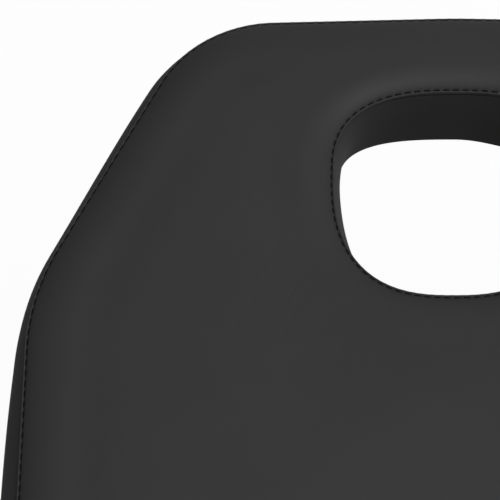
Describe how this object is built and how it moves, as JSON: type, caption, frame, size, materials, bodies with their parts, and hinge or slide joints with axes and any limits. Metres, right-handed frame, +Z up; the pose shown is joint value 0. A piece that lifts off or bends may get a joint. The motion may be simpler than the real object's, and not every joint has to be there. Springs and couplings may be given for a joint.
{
  "type": "height-adjustable massage table",
  "caption": "Padded massage table with a face hole, a tilting backrest held by a toothed prop, and telescopic steel legs with locking pins.",
  "frame": {"origin": "on the floor under the middle of the table, between the four feet", "axes": "+Y towards the head end along the table, +X towards the right side seen from the foot end, +Z up"},
  "size_m": [0.62, 1.8499, 0.6],
  "materials": {
    "frame_paint": "silver grey powder coat, satin",
    "zinc_steel": "bright zinc plate",
    "black_plastic": "moulded, fine spark grain",
    "white_nylon": "turned nylon",
    "black_rubber": "matt moulded rubber",
    "vinyl": "charcoal faux leather with a fine grain, semi-matt",
    "plywood": "sanded birch plywood",
    "foam": "open-cell upholstery foam",
    "dust_fabric": "black non-woven spunbond"
  },
  "bodies": {
    "base": {"outer_leg_head_left": "frame_paint", "outer_leg_head_right": "frame_paint", "outer_leg_foot_left": "frame_paint", "outer_leg_foot_right": "frame_paint", "rubber_feet": "black_rubber", "guide_bushes": "black_plastic", "lower_rail_head": "frame_paint", "lower_rail_foot": "frame_paint", "stretcher": "frame_paint", "stretcher_bolts": "zinc_steel", "pin_housings": "zinc_steel", "pin_springs": "zinc_steel"},
    "bed": {"inner_leg_head_left": "frame_paint", "inner_leg_head_right": "frame_paint", "inner_leg_foot_left": "frame_paint", "inner_leg_foot_right": "frame_paint", "leg_plates": "frame_paint", "side_rail_left": "frame_paint", "side_rail_right": "frame_paint", "cross_rail_foot": "frame_paint", "cross_rail_middle": "frame_paint", "cross_rail_hinge": "frame_paint", "cross_rail_rack_near": "frame_paint", "cross_rail_rack_far": "frame_paint", "rail_end_caps": "black_plastic", "hinge_ears": "frame_paint", "hinge_bolts": "zinc_steel", "rack_left": "zinc_steel", "rack_right": "zinc_steel", "rubber_pads": "black_rubber", "seat_board": "plywood", "seat_foam": "foam", "seat_cover": "vinyl", "seat_dust_cover": "dust_fabric", "seat_fixings": "zinc_steel"},
    "backrest": {"back_rail_left": "frame_paint", "back_rail_right": "frame_paint", "back_cross_hinge": "frame_paint", "back_cross_head": "frame_paint", "back_end_caps": "black_plastic", "hinge_brackets": "frame_paint", "hinge_bushes": "white_nylon", "back_board": "plywood", "back_foam": "foam", "back_cover": "vinyl", "back_dust_cover": "dust_fabric", "back_fixings": "zinc_steel", "prop_bolts": "zinc_steel"},
    "prop": {"prop_arm_left": "frame_paint", "prop_arm_right": "frame_paint", "prop_bar": "frame_paint", "prop_sleeves": "black_plastic"},
    "pin_head_left": {"locking_pin_head_left": "zinc_steel", "pin_knob_head_left": "black_plastic"},
    "pin_head_right": {"locking_pin_head_right": "zinc_steel", "pin_knob_head_right": "black_plastic"},
    "pin_foot_left": {"locking_pin_foot_left": "zinc_steel", "pin_knob_foot_left": "black_plastic"},
    "pin_foot_right": {"locking_pin_foot_right": "zinc_steel", "pin_knob_foot_right": "black_plastic"}
  },
  "joints": [
    {"name": "height", "type": "slide", "parent": "base", "child": "bed", "axis": [0, 0, 1], "range_m": [0, 0.25]},
    {"name": "backrest_tilt", "type": "hinge", "parent": "bed", "child": "backrest", "pos_m": [0, 0.181, 0.582], "axis": [1, 0, 0], "range_deg": [0, 65]},
    {"name": "prop_swing", "type": "hinge", "parent": "backrest", "child": "prop", "pos_m": [0, 0.361, 0.5075], "axis": [1, 0, 0], "range_deg": [-132.5, 0]},
    {"name": "pin_slide_head_left", "type": "slide", "parent": "base", "child": "pin_head_left", "axis": [0, -1, 0], "range_m": [0, 0.009]},
    {"name": "pin_slide_head_right", "type": "slide", "parent": "base", "child": "pin_head_right", "axis": [0, -1, 0], "range_m": [0, 0.009]},
    {"name": "pin_slide_foot_left", "type": "slide", "parent": "base", "child": "pin_foot_left", "axis": [0, 1, 0], "range_m": [0, 0.009]},
    {"name": "pin_slide_foot_right", "type": "slide", "parent": "base", "child": "pin_foot_right", "axis": [0, 1, 0], "range_m": [0, 0.009]}
  ],
  "couplings": [
    {"joint": "prop_swing", "follows": "backrest_tilt", "ratio": -2.0385}
  ]
}
